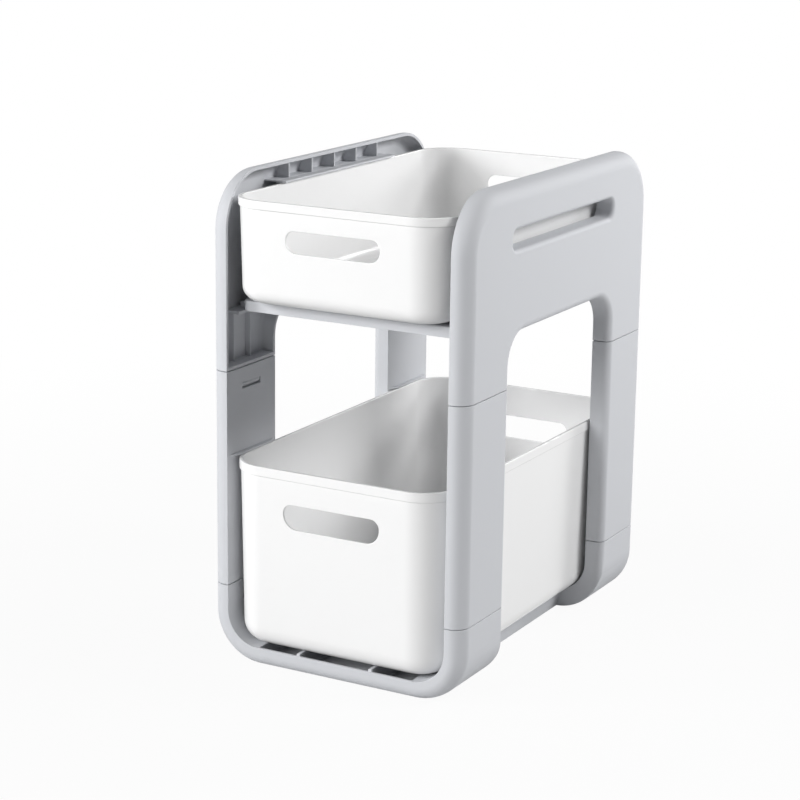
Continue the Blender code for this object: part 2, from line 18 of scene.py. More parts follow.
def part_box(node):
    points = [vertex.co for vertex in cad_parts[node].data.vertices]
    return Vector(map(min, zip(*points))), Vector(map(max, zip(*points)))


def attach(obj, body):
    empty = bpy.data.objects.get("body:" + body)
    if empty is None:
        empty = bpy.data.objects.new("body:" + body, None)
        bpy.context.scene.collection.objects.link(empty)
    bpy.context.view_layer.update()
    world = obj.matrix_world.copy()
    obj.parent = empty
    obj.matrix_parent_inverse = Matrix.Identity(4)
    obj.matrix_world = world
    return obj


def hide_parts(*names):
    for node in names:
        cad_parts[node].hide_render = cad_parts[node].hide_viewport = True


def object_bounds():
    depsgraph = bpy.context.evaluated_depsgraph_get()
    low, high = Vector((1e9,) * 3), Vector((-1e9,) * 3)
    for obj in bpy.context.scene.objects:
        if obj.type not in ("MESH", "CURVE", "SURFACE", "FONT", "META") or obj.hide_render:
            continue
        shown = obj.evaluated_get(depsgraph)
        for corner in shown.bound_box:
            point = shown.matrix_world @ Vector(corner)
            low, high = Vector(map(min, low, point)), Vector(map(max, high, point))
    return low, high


bl_info = {
    "name": "Two-tier storage rack",
    "version": (1, 0, 0),
    "blender": (4, 5, 0),
    "location": "3D View > Sidebar > Rack",
    "description": "Builds the fine surfaces, finishes and studio of a two-tier storage rack",
    "category": "Object",
}

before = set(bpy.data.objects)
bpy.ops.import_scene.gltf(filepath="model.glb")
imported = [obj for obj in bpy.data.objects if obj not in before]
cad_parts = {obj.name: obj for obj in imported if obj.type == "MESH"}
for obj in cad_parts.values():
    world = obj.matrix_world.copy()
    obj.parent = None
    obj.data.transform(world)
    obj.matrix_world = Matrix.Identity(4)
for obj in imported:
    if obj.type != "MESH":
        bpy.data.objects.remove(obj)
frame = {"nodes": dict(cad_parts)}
CAD_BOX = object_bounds()
(_, _, BASE_LOW), (BASE_X, BASE_Y, LOWER_SEAM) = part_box("base")
UPPER_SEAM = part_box("post_front_right")[1][2]
PANEL_X, _, PANEL_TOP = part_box("side_panel_right")[1]
_, SHELF_Y, RAIL_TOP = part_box("shelf")[1]
(_, _, LOWER_LOW), (BIN_X, BIN_Y, LOWER_RIM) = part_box("lower_bin")
(_, _, UPPER_LOW), (_, _, UPPER_RIM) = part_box("upper_bin")

FRAME_BODY = "frame"
SIDES = (("left", -1), ("right", 1))
ENDS = (("front", -1), ("rear", 1))
LEGS = [(side, end) for _, side in SIDES for _, end in ENDS]
# Steps in a quarter turn of a small rounding, of a fillet and of a wide corner
FINE = 6
ARC = 12
WIDE_ARC = 24
# Rings along the straight stretch of a bin's wall
WALL_RINGS = 8
# Five ribs, counted from the middle one
RIBS = range(-2, 3)
# Points nearer than this become one
WELD = 1e-7
# Edges that turn by more than this are rounded
SHARP = radians(34)
# Widest fillet on a leg, over half the leg's thickness
WIDEST_FILLET = 1.8
# Where a pad's two grooves start, are deepest and end, over its radius
GROOVES = np.array((0.25, 0.32, 0.40, 0.60, 0.67, 0.75))
# Floor: half its span, how white the camera sees it at the rack, and where it fades to full white
FLOOR_HALF = 12.0
VEIL = 0.94
FADE = (0.30, 1.2)
WHITE = (1, 1, 1, 1)
# Name, place and width of each soft light
LAMPS = (
    ("key", (-2.8, -2.7, 1.9), 1.6),
    ("fill", (-1.0, -3.7, 1.6), 1.6),
    ("right", (2.0, 0.7, 1.5), 0.9),
    ("rear", (1.1, 2.3, 1.2), 0.9),
)


def length(name, description, default):
    return FloatProperty(name=name, description=description, default=default, min=0, unit="LENGTH")


def tone(name, description, default):
    return FloatVectorProperty(
        name=name, description=description, default=default, min=0, max=1, subtype="COLOR"
    )


def degrees(name, description, default):
    return FloatProperty(
        name=name, description=description, default=radians(default), subtype="ANGLE"
    )


def amount(name, description, default):
    return FloatProperty(name=name, description=description, default=default)


class LegSizes(bpy.types.PropertyGroup):
    """Sizes shared by the base's stubs, the posts and the end panels."""

    inner: length("Inner face", "Distance from the middle to a leg's inner face", 0.1077)
    depth: length("Depth", "Front to rear size of one leg", 0.078)
    outer_fillet: length("Outer fillet", "Rounding along the outside of the frame", 0.014)
    arch_fillet: length("Arch fillet", "Rounding along the arches", 0.007)
    wall: length("Wall", "Thickness of a shell", 0.003)
    rib: length("Rib", "Thickness of a rib", 0.0018)
    gap: length("Gap", "Clearance between pieces that touch", 0.0003)
    seam: length("Seam", "Width of the dark line between the parts of a leg", 0.0007)
    overrun: length("Overrun", "How far a cutter runs past the face it cuts", 0.004)
    plug_depth: length("Plug depth", "How far a plug drops into the leg below", 0.024)
    plug_wall: length("Plug wall", "Thickness of a plug's wall", 0.002)
    latch_drop: length("Latch drop", "From a seam down to the middle of its latch", 0.0167)
    latch_width: length("Latch width", "Size of a latch window along the leg's depth", 0.029)
    latch_height: length("Latch height", "Upright size of a latch window", 0.0052)
    hook_sink: length("Hook sink", "From the inner face to the hook's tip", 0.0006)
    foot_lip: length("Foot lip", "Floor that closes the foot of an upper leg", 0.003)
    rounding: length("Edge rounding", "Small rounding on every sharp edge", 0.00045)


class LedgeSizes(bpy.types.PropertyGroup):
    """Sizes of one kind of guide ledge, which keeps a bin's rim down."""

    proud: length("Reach", "How far the ledge stands out of the inner face", 0.0047)
    height: length("Thickness", "Upright size of the ledge", 0.0016)
    lead: length("Lead-in", "Length of the slanting stretch at each end", 0.0125)
    half: length("Half length", "From the ledge's middle to its end", 0.0385)
    root: length("Root", "How far the ledge reaches into the wall behind it", 0.001)
    clearance: length("Clearance", "From the bin's rim up to the ledge", 0.0005)


class BaseSizes(bpy.types.PropertyGroup):
    """Sizes of the base alone."""

    plate_top: length("Plate top", "Height of the floor plate's top", 0.0175)
    plate_half: length("Plate half width", "Middle to the plate's edge between the stubs", 0.0835)
    inner_radius: length("Inner corner", "Radius from the plate up into a stub", 0.030)
    outer_radius: length("Outer corner", "Radius from the underside up into a stub", 0.046)
    fillet: length("Foot fillet", "Rounding of the plate's front and rear lower edges", 0.011)
    floor_margin: length("Floor margin", "From the plate's side edge to its trough", 0.007)
    rail_offset: length("Rail offset", "From the middle to a slide rail", 0.036)
    rail_width: length("Rail width", "Width of a slide rail", 0.0035)
    rail_height: length("Rail height", "How far a rail stands over the plate's rim", 0.0022)
    rib_height: length("Cross rib height", "How far a cross rib stands off the floor", 0.006)
    rib_pitch: length("Cross rib pitch", "Distance between the cross ribs", 0.060)
    pad_radius: length("Pad radius", "Radius of a foot pad", 0.008)
    pad_thickness: length("Pad thickness", "Thickness of a foot pad", 0.002)
    pad_margin: length("Pad margin", "From a pad's recess to the edge's fillet", 0.0025)


class PanelSizes(bpy.types.PropertyGroup):
    """Sizes of an end panel alone."""

    corner: length("Corner radius", "Radius of the two upper corners", 0.050)
    arch_top: length("Arch top", "Height of the arch's crown", 0.3086)
    arch_radius: length("Arch radius", "Radius of the arch's corners", 0.028)
    handle_length: length("Handle length", "Length of the handle slot", 0.202)
    handle_height: length("Handle height", "Height of the handle slot", 0.0175)
    handle_middle: length("Handle middle", "Height of the handle slot's middle", 0.3888)
    handle_radius: length("Handle radius", "Radius of the handle slot's corners", 0.0075)
    handle_lip: length("Handle lip", "Rounding around the handle slot", 0.004)
    collar: length("Collar", "Wall of the collar behind the handle slot", 0.0025)
    rib_pitch: length("Rib pitch", "Distance between the upright ribs", 0.039)
    rib_recess: length("Rib recess", "From the inner face back to the ribs' edges", 0.0008)
    leg_rib_recess: length("Leg rib recess", "As rib recess, for the legs' low ribs", 0.009)
    shelf_ledge: length("Shelf ledge", "Height of the ledge that carries the shelf", 0.313)


class ShelfSizes(bpy.types.PropertyGroup):
    """Sizes of the shelf alone."""

    top: length("Top", "Height of the shelf's top", 0.3237)
    height: length("Thickness", "Height of the shelf's edge", 0.0092)
    corner: length("Corner radius", "Radius of the shelf's corners in plan", 0.010)
    end_clearance: length("End clearance", "From the leg's inner face to the shelf's edge", 0.0007)
    fillet: length("Edge fillet", "Rounding along the shelf's upper edge", 0.0015)
    columns: IntProperty(name="Columns", description="Hollows across the underside", default=5)
    rows: IntProperty(name="Rows", description="Hollows along the underside", default=8)
    tongue_reach: length("Tongue reach", "How far a tongue reaches into its panel", 0.0105)
    tongue_height: length("Tongue height", "Thickness of a tongue", 0.005)
    tongue_setback: length("Tongue setback", "From a shelf corner's end to its tongue", 0.006)


class BinSizes(bpy.types.PropertyGroup):
    """Sizes of one bin; heights run up from the underside of the bin."""

    wall: length("Wall", "Thickness of the walls and floor", 0.002)
    corner: length("Corner radius", "Radius of the rim's corners in plan", 0.035)
    floor_radius: length("Floor radius", "Radius from the walls into the floor", 0.0135)
    rim: length("Rim", "Height of the rim band", 0.0075)
    rim_proud: length("Rim reach", "How far the rim stands off the wall", 0.0013)
    rim_rounding: length("Rim rounding", "Rounding of the rim's upper edges", 0.0009)
    slot_low: length("Slot foot", "Height of the hand slot's lower edge", 0.0)
    slot_high: length("Slot head", "Height of the hand slot's upper edge", 0.0)
    slot_length: length("Slot length", "Length of the hand slot", 0.090)
    slot_low_radius: length("Lower slot radius", "Radius of the slot's lower corners", 0.010)
    slot_high_radius: length("Upper slot radius", "Radius of the slot's upper corners", 0.0082)
    slot_rounding: length("Slot rounding", "Rounding of the slot's edges", 0.0007)
    draft: degrees("Draft", "Lean of the walls", 1.5)


class Finishes(bpy.types.PropertyGroup):
    """Colours of the mouldings, the pads and the studio."""

    frame: tone("Frame", "Light grey plastic of the frame", (0.68, 0.68, 0.69))
    bin: tone("Bin", "White plastic of the bins", (0.90, 0.90, 0.90))
    pad: tone("Pad", "Dark rubber of the foot pads", (0.06, 0.06, 0.065))
    floor: tone("Floor", "Pale studio floor", (0.60, 0.60, 0.60))


class StageSettings(bpy.types.PropertyGroup):
    """Where the camera stands and how strong the studio lights are."""

    azimuth: degrees("Azimuth", "Camera turn to the right", 28.99)
    elevation: degrees("Elevation", "Camera height angle", 14.37)
    roll: degrees("Roll", "Camera roll", 0.766)
    lens: amount("Lens", "Focal length in millimetres", 102.09)
    place: FloatVectorProperty(
        name="Camera place",
        description="Where the camera stands",
        default=(0.9413, -1.7659, 0.7265),
        subtype="TRANSLATION",
    )
    key: amount("Key", "Power of the soft light at the front left", 102)
    fill: amount("Fill", "Power of the soft light in front", 72)
    right: amount("Right", "Power of the high soft light on the right", 35)
    rear: amount("Rear", "Power of the soft light behind", 29)
    world: amount("World", "Strength of the surrounding light", 0.10)


class Socket:
    """A node's output that can be written in sums: each operator adds one Math node."""

    def __init__(self, shader, link):
        self.shader = shader
        self.link = link

    def math(self, operation, *values):
        settings = {"operation": operation}
        return self.shader.node("Math", settings, dict(enumerate(values)))

    def __add__(self, other):
        return self.math("ADD", self, other)

    def __sub__(self, other):
        return self.math("SUBTRACT", self, other)

    def __rsub__(self, other):
        return self.math("SUBTRACT", other, self)

    def __mul__(self, other):
        return self.math("MULTIPLY", self, other)

    __radd__ = __add__

    def at_most(self, limit):
        return self.math("MINIMUM", self, limit)

    def spread(self, low, high):
        """Runs smoothly from 0 to 1 while the value goes from low to high."""
        settings = {"interpolation_type": "SMOOTHSTEP"}
        return self.shader.node("MapRange", settings, {0: self, 1: low, 2: high})


class Shader:
    """The nodes of one material or world, all made by one method."""

    def __init__(self, owner):
        owner.use_nodes = True
        self.owner = owner
        self.tree = owner.node_tree
        self.tree.nodes.clear()

    def node(self, kind, settings=None, inputs=None, output=0):
        """Makes a node: its settings first, then its inputs, each a value or another's socket."""
        made = self.tree.nodes.new(f"ShaderNode{kind}")
        for key, value in (settings or {}).items():
            setattr(made, key, value)
        for key, value in (inputs or {}).items():
            if isinstance(value, Socket):
                self.tree.links.new(value.link, made.inputs[key])
            else:
                made.inputs[key].default_value = value
        return Socket(self, made.outputs[output]) if made.outputs else None

    def place(self):
        return self.node("TexCoord", output="Object")

    def ray(self, kind):
        return self.node("LightPath", output=f"Is {kind} Ray")

    def noise(self, place, scale, detail=2, rough=0.5):
        inputs = {"Vector": place, "Scale": scale, "Detail": detail, "Roughness": rough}
        return self.node("TexNoise", None, inputs)

    def stretch(self, place, scale):
        return self.node("Mapping", None, {"Vector": place, "Scale": scale})

    def blend(self, factor, low, high):
        """A colour between two others, the second where the factor is 1."""
        # A Mix node has sockets for each type of data, and these are the ones for colours
        return self.node("Mix", {"data_type": "RGBA"}, {0: factor, 6: low, 7: high}, 2)

    def bump(self, height, depth):
        inputs = {"Height": height, "Distance": depth, "Strength": 1.0}
        return self.node("Bump", None, inputs, "Normal")

    def surface(self, **inputs):
        named = {key.replace("_", " "): value for key, value in inputs.items()}
        return self.output(self.node("BsdfPrincipled", None, named))

    def output(self, closure, kind="OutputMaterial"):
        self.node(kind, None, {"Surface": closure})
        return self.owner


def new_shader(name):
    return Shader(bpy.data.materials.new(name))


def shade(colour, factor):
    """A colour made lighter or darker, with its alpha."""
    return (*(min(channel * factor, 1) for channel in colour), 1)


def edge_mask(shader, reach):
    """1 on an edge and 0 on flat ground: how far the rounded normal leans from the true one."""
    rounded = shader.node("Bevel", {"samples": 4}, {"Radius": reach})
    true = shader.node("NewGeometry", output="Normal")
    settings = {"operation": "DOT_PRODUCT"}
    leaning = shader.node("VectorMath", settings, {0: rounded, 1: true}, "Value")
    return (1 - leaning).spread(0.01, 0.25)


def frame_plastic(colour):
    """Light grey moulded plastic: spark-eroded grain, faint flow marks and paler rubbed edges."""
    shader = new_shader("frame_plastic")
    place = shader.place()
    grain = shader.noise(place, scale=2600, detail=3, rough=0.6)
    cloud = shader.noise(place, scale=14, detail=3)
    flow = shader.noise(shader.stretch(place, (9, 9, 2.2)), scale=3, detail=4, rough=0.55)
    worn = edge_mask(shader, 0.0007)
    tint = cloud.spread(0.3, 0.7) * 0.6 + flow.spread(0.35, 0.65) * 0.4
    ground = shader.blend(tint, shade(colour, 0.975), shade(colour, 1.02))
    rough = 0.40 + grain * 0.08 + cloud * 0.05 - worn * 0.06
    return shader.surface(
        Base_Color=shader.blend(worn * 0.5, ground, shade(colour, 1.08)),
        Roughness=rough,
        Normal=shader.bump(grain, depth=0.00002),
    )


def bin_plastic(colour):
    """White moulded plastic: smoother than the frame, with light scattered inside the walls."""
    shader = new_shader("bin_plastic")
    place = shader.place()
    grain = shader.noise(place, scale=3400)
    cloud = shader.noise(place, scale=9, detail=3)
    smear = shader.noise(shader.stretch(place, (1, 1, 3)), scale=22, detail=5, rough=0.6)
    ground = shader.blend(cloud.spread(0.3, 0.7), shade(colour, 0.985), shade(colour, 1.01))
    rough = 0.27 + smear.spread(0.45, 0.75) * 0.07 + grain * 0.04
    return shader.surface(
        Base_Color=ground,
        Roughness=rough,
        Normal=shader.bump(grain, depth=0.000008),
        Subsurface_Weight=1.0,
        Subsurface_Radius=(1.0, 1.0, 1.0),
        Subsurface_Scale=0.03,
    )


def pad_rubber(colour):
    """Dark rubber: matt, with a coarse grain and patches of dust."""
    shader = new_shader("pad_rubber")
    place = shader.place()
    grain = shader.noise(place, scale=1800, detail=4, rough=0.7)
    dust = shader.noise(place, scale=160, detail=4, rough=0.7)
    return shader.surface(
        Base_Color=shader.blend(dust.spread(0.45, 0.75), shade(colour, 1), shade(colour, 2.2)),
        Roughness=0.78 + dust * 0.15,
        Normal=shader.bump(grain, depth=0.00005),
    )


def arc(centre, radius, start, steps, sweep=90):
    """Points and outward normals on an arc that starts at an angle and sweeps on, in degrees."""
    angle = np.radians(np.linspace(start, start + sweep, steps + 1))
    normals = np.stack([np.cos(angle), np.sin(angle)], axis=1)
    return np.asarray(centre) + radius * normals, normals


def stroke(points, normals, fillet):
    """Rows of (u, v, normal u, normal v, fillet), one for each point of a stretch of outline."""
    points = np.atleast_2d(points)
    normals = np.broadcast_to(normals, points.shape)
    fillets = np.broadcast_to(np.asarray(fillet, float), len(points))
    return np.column_stack([points, normals, fillets])


def mirrored(rows):
    """The same stretch of outline on the other side of the upright axis, run the other way."""
    return rows[::-1] * (-1, 1, -1, 1, 1)


def inset_outline(rows, inset):
    """An outline moved in by a wall, which takes as much off each fillet."""
    moved = rows.copy()
    moved[:, :2] -= rows[:, 2:4] * inset
    moved[:, 4] = np.maximum(rows[:, 4] - inset, 0)
    return moved


def quarter_round(radius, steps):
    """How far in, r(1 - cos a), and how deep, r(1 - sin a), each ring of a rounded edge lies."""
    turned = np.linspace(0, pi / 2, steps + 1)
    return [np.multiply.outer(1 - turn(turned), radius) for turn in (np.cos, np.sin)]


def fillet_rings(rows):
    """Rings of an outline with its fillets, and each point's depth below the face."""
    inset, depth = quarter_round(rows[:, 4], ARC)
    return rows[:, :2] - rows[:, 2:4] * inset[..., None], depth


def add_object(name, data):
    """Puts a mesh, a light or a camera into the scene."""
    made = bpy.data.objects.new(name, data)
    bpy.context.scene.collection.objects.link(made)
    return made


def loft(name, grid):
    """A closed mesh through a grid of rings, indexed (ring, point, xyz), with both ends capped."""
    rings, count, _ = grid.shape
    index = np.arange(rings * count).reshape(rings, count)
    after = np.roll(index, -1, axis=1)
    quads = np.stack([index[:-1], after[:-1], after[1:], index[1:]], axis=-1).reshape(-1, 4)
    faces = quads.tolist() + [index[0][::-1].tolist(), index[-1].tolist()]
    mesh = bpy.data.meshes.new(name)
    mesh.from_pydata(grid.reshape(-1, 3), [], faces)
    turn_out(mesh)
    return add_object(name, mesh)


def turn_out(mesh):
    """Points every face outwards and drops doubled points."""
    bm = bmesh.new()
    bm.from_mesh(mesh)
    bmesh.ops.remove_doubles(bm, verts=bm.verts, dist=WELD)
    bmesh.ops.recalc_face_normals(bm, faces=bm.faces)
    bm.to_mesh(mesh)
    bm.free()


def stack(outline, axis, levels):
    """Grid of outlines at levels along an axis: X takes (y, z), Y takes (x, z) and Z takes (x, y).

    One outline serves every level, or there is one outline for each.
    """
    outline = np.asarray(outline, float)
    levels = np.asarray(levels, float)
    shape = (len(levels), outline.shape[-2])
    along = np.broadcast_to(levels[:, None, None], (*shape, 1))
    across = np.broadcast_to(outline, (*shape, 2))
    order = {"X": (0, 1, 2), "Y": (1, 0, 2), "Z": (1, 2, 0)}[axis]
    return np.concatenate([along, across], axis=2)[..., order]


def prism(outline, axis, start, end):
    return loft("prism", stack(outline, axis, (start, end)))


def box(low, high):
    corners = ((low[0], low[1]), (high[0], low[1]), (high[0], high[1]), (low[0], high[1]))
    return prism(corners, "Z", low[2], high[2])


def span(middle, size):
    """Both ends of a stretch of a given size round its middle."""
    return middle - size / 2, middle + size / 2


def side_box(side, x, y, z):
    """A block whose X span is given for the right side and mirrored to the other."""
    left, right = sorted((side * x[0], side * x[1]))
    return box((left, y[0], z[0]), (right, y[1], z[1]))


def combine(target, others, operation):
    """Cuts the other bodies from the target, or joins them to it, and uses them up."""
    for other in others:
        modifier = target.modifiers.new(operation, "BOOLEAN")
        modifier.operation = operation
        modifier.object = other
    bpy.context.view_layer.update()
    graph = bpy.context.evaluated_depsgraph_get()
    result = bpy.data.meshes.new_from_object(target.evaluated_get(graph))
    target.modifiers.clear()
    target.data = result
    for other in others:
        bpy.data.objects.remove(other)
    return target


def cut(target, *others):
    return combine(target, others, "DIFFERENCE")


def join(target, *others):
    return combine(target, others, "UNION")


def dress(made, name, nodes, body, material, rounding):
    """Names a finished shell, rounds its sharp edges and lets it stand for its CAD node."""
    made.name = name
    made.data.name = name
    turn_out(made.data)
    made.data.materials.clear()
    made.data.materials.append(material)
    made.data.shade_smooth()
    bevel = made.modifiers.new("Edge rounding", "BEVEL")
    bevel.width = rounding
    bevel.segments = 3
    bevel.limit_method = "ANGLE"
    bevel.angle_limit = SHARP
    bevel.use_clamp_overlap = False
    bevel.miter_outer = "MITER_ARC"
    normals = made.modifiers.new("Flat faces", "WEIGHTED_NORMAL")
    normals.weight = 100
    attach(made, body)
    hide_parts(*nodes)


def finish_of(make, colour):
    """The material that a function makes, which is named after it, made once."""
    return bpy.data.materials.get(make.__name__) or make(tuple(colour))


def dress_frame(context, made, node, kind="shell"):
    """Dresses a piece of the frame in its grey plastic."""
    finish = finish_of(frame_plastic, context.scene.rack_finishes.frame)
    rounding = context.scene.rack_legs.rounding
    dress(made, f"{node}_{kind}", [node], FRAME_BODY, finish, rounding)


def leg_plan(legs, side, end, inset=0.0):
    """Plan of one leg about its own middle, moved in by a wall: square inside, rounded outside."""
    half_x = (PANEL_X - legs.inner) / 2 - inset
    half_y = legs.depth / 2 - inset
    widest = WIDEST_FILLET * half_x
    outer = min(legs.outer_fillet - inset, widest)
    arch = min(legs.arch_fillet - inset, widest)
    near_arch = arc((half_x - arch, arch - half_y), arch, -90, ARC)[0]
    near_end = arc((half_x - outer, half_y - outer), outer, 0, ARC)[0]
    plan = np.vstack([[(-half_x, -half_y)], near_arch, near_end, [(-half_x, half_y)]])
    return plan * (side, end)


def leg_middle(legs, side, end):
    """Middle of a leg in plan."""
    x = (PANEL_X + legs.inner) / 2
    y = BASE_Y - legs.depth / 2
    return np.array((side * x, end * y))


def leg_column(legs, side, end, inset, low, high):
    """A leg's plan, moved in by a wall, run from one height up to another."""
    plan = leg_plan(legs, side, end, inset) + leg_middle(legs, side, end)
    return prism(plan, "Z", low, high)


def latch_window(legs, side, end, seam):
    """Cutter for the window below a seam, through a leg's inner wall."""
    middle = leg_middle(legs, side, end)[1]
    x = (legs.inner - legs.overrun, legs.inner + legs.wall + legs.gap / 2)
    z = span(seam - legs.latch_drop, legs.latch_height)
    return side_box(side, x, span(middle, legs.latch_width), z)


def leg_plug(legs, side, end, seam):
    """Plug below a seam, with the wedge-shaped hook that stands in the window of the leg below."""
    inset = legs.wall + legs.gap
    top = seam + legs.gap + legs.foot_lip / 2
    body = leg_column(legs, side, end, inset, seam - legs.plug_depth, top)
    middle = leg_middle(legs, side, end)[1]
    drop = seam - legs.latch_drop
    half = legs.latch_height / 2 - legs.gap
    low, high = drop - half, drop + half
    root = legs.inner + inset + legs.plug_wall / 2
    neck = legs.inner + legs.wall
    tip = legs.inner + legs.hook_sink
    profile = np.array(((root, low), (neck, low), (tip, drop), (tip, high), (root, high)))
    reach = legs.latch_width / 2 - legs.gap
    hook = prism(profile * (side, 1), "Y", middle - reach, middle + reach)
    return join(body, hook)


def plug_bore(legs, side, end, seam, top):
    """Cutter for the inside of a plug below a seam, up to a height."""
    inset = legs.wall + legs.gap + legs.plug_wall
    return leg_column(legs, side, end, inset, seam - legs.plug_depth - legs.overrun, top)


def guide_ledge(legs, ledge, side, middle, rim):
    """Ledge over a bin's rim: a thin strip with slanting ends that stands out of an inner face."""
    low = rim + ledge.clearance
    back = legs.inner + ledge.root
    edge = legs.inner - ledge.proud
    reach = ledge.half - ledge.lead
    plan = np.array(((back, -ledge.half), (edge, -reach), (edge, reach), (back, ledge.half)))
    return prism(plan * (side, 1) + (0, middle), "Z", low, low + ledge.height)


def pockets(half, counts, levels, rib):
    """Cutters for a grid of hollows between ribs, from one height up to another."""
    step = 2 * half / counts
    made = []
    for place in np.ndindex(counts):
        near = -half + step * place + rib / 2
        made.append(box((*near, levels[0]), (*(near + step - rib), levels[1])))
    return made


def base_outline(legs, base):
    """Front view of the base: out along the underside, up a stub, down inside it and across."""
    outer_middle = (BASE_X - base.outer_radius, BASE_LOW + base.outer_radius)
    fillets = np.linspace(base.fillet, legs.outer_fillet, WIDE_ARC + 1)
    outer = stroke(*arc(outer_middle, base.outer_radius, -90, WIDE_ARC), fillets)
    corners = ((BASE_X, LOWER_SEAM), (legs.inner, LOWER_SEAM))
    top = stroke(corners, ((1, 0), (-1, 0)), (legs.outer_fillet, 0))
    inner_middle = (legs.inner - base.inner_radius, base.plate_top + base.inner_radius)
    points, normals = arc(inner_middle, base.inner_radius, 0, WIDE_ARC, -90)
    inner = stroke(points, -normals, 0)
    right = np.vstack([outer, top, inner])
    return np.vstack([right, mirrored(right)])


def pad_places(base, legs):
    """Middles of the four foot pads, in the corners of the base's flat underside."""
    clear = base.pad_radius + legs.gap + base.pad_margin
    x = BASE_X - base.outer_radius - clear
    y = BASE_Y - base.fillet - clear
    return [(side * x, end * y) for side, end in LEGS]


def disc(place, radius, low, high):
    """A circle's points run from one height up to another."""
    return prism(arc(place, radius, 0, 4 * ARC, 360)[0][:-1], "Z", low, high)


class RACK_OT_base(bpy.types.Operator):
    """Base moulding: a filleted front-to-rear loft of the base's outline, hollowed to a trough"""

    bl_idname = "rack.base"
    bl_label = "Base"

    def execute(self, context):
        legs = context.scene.rack_legs
        base = context.scene.rack_base
        flat, depth = fillet_rings(base_outline(legs, base))
        front = np.stack([flat[..., 0], depth - BASE_Y, flat[..., 1]], axis=-1)[::-1]
        rear = front[::-1] * (1, -1, 1)
        made = loft("base", np.concatenate([front, rear]))
        made = cut(made, *self.side_notches(legs, base), *self.hollows(legs, base))
        made = join(cut(made, *self.sockets(legs)), *self.ribs(legs, base))
        dress_frame(context, made, "base")
        return {"FINISHED"}

    def side_notches(self, legs, base):
        """Cutters that narrow the plate between the stubs, with a face that leans in downwards."""
        low, top = -legs.overrun, LOWER_SEAM + legs.overrun
        foot, near, far = BASE_X - base.outer_radius, base.plate_half, BASE_X + legs.overrun
        arch = BASE_Y - legs.depth
        profile = ((foot, low), (near, base.plate_top), (near, top), (far, top), (far, low))
        return [prism(np.array(profile) * (side, 1), "Y", -arch, arch) for _, side in SIDES]

    def lengthwise(self, base, inset, top):
        """Side view of the base moved in by a wall: level below, with rounded lower ends."""
        low = BASE_LOW + inset
        radius = base.fillet - inset
        reach = BASE_Y - inset
        front = arc((radius - reach, low + radius), radius, 180, ARC)[0]
        rear = arc((reach - radius, low + radius), radius, 270, ARC)[0]
        return np.vstack([[(reach, top), (-reach, top)], front, rear])

    def hollows(self, legs, base):
        """Cutters for the open trough and for the recesses of the foot pads."""
        half = base.plate_half - base.floor_margin
        trough = self.lengthwise(base, legs.wall, base.plate_top + legs.overrun)
        recess = base.pad_thickness + legs.gap
        radius = base.pad_radius + legs.gap
        seats = [disc(place, radius, -legs.overrun, recess) for place in pad_places(base, legs)]
        return [prism(trough, "X", -half, half), *seats]

    def ribs(self, legs, base):
        """Two rails that the lower bin slides on, and low ribs across the trough."""
        rail = self.lengthwise(base, legs.wall / 2, base.plate_top + base.rail_height)
        made = []
        for _, side in SIDES:
            made.append(prism(rail, "X", *span(side * base.rail_offset, base.rail_width)))
        half = base.plate_half - base.floor_margin + legs.wall / 2
        foot = BASE_LOW + legs.wall / 2
        top = foot + legs.wall / 2 + base.rib_height
        for i in RIBS:
            near, far = span(i * base.rib_pitch, legs.rib)
            made.append(box((-half, near, foot), (half, far, top)))
        return made

    def sockets(self, legs):
        """Cutters for each stub: its socket, its latch window and its edge beside the arch."""
        floor = LOWER_SEAM - legs.plug_depth - legs.gap
        top = LOWER_SEAM + legs.overrun
        made = []
        for side, end in LEGS:
            made.append(leg_column(legs, side, end, legs.wall, floor, top))
            made.append(latch_window(legs, side, end, LOWER_SEAM))
            made.append(self.arch_edge(legs, side, end))
        return made

    def arch_edge(self, legs, side, end):
        """Cutter that rounds a stub's outer edge beside the arch."""
        radius = legs.arch_fillet
        far = legs.overrun
        y = BASE_Y - legs.depth
        round_off = arc((BASE_X - radius, y + radius), radius, -90, ARC)[0]
        corner = [(BASE_X + far, y + radius), (BASE_X + far, y - far), (BASE_X - radius, y - far)]
        outline = np.vstack([round_off, corner]) * (side, end)
        return prism(outline, "Z", -far, LOWER_SEAM + far)


class RACK_OT_foot_pads(bpy.types.Operator):
    """Foot pads: a disc profile with a rounded rim and two grooves, turned round its own axis"""

    bl_idname = "rack.foot_pads"
    bl_label = "Foot pads"

    def execute(self, context):
        legs = context.scene.rack_legs
        base = context.scene.rack_base
        material = finish_of(pad_rubber, context.scene.rack_finishes.pad)
        radius = base.pad_radius
        height = base.pad_thickness
        edge = height / 5
        groove = height / 6
        sunk = np.array((0, 1, 0, 0, 1, 0)) * groove
        low = arc((radius - edge, edge), edge, -90, FINE)[0]
        high = arc((radius - edge, height - edge), edge, 0, FINE)[0]
        profile = np.vstack([np.column_stack([GROOVES * radius, sunk]), low, high])
        around = np.linspace(0, 2 * pi, 4 * ARC, endpoint=False)
        for index, place in enumerate(pad_places(base, legs)):
            x = place[0] + profile[:, :1] * np.cos(around)
            y = place[1] + profile[:, :1] * np.sin(around)
            z = np.broadcast_to(profile[:, 1:], x.shape)
            node = f"foot_pad_{index + 1}"
            made = loft(node, np.stack([x, y, z], axis=-1))
            dress(made, f"{node}_rubber", [node], FRAME_BODY, material, edge / 4)
        return {"FINISHED"}


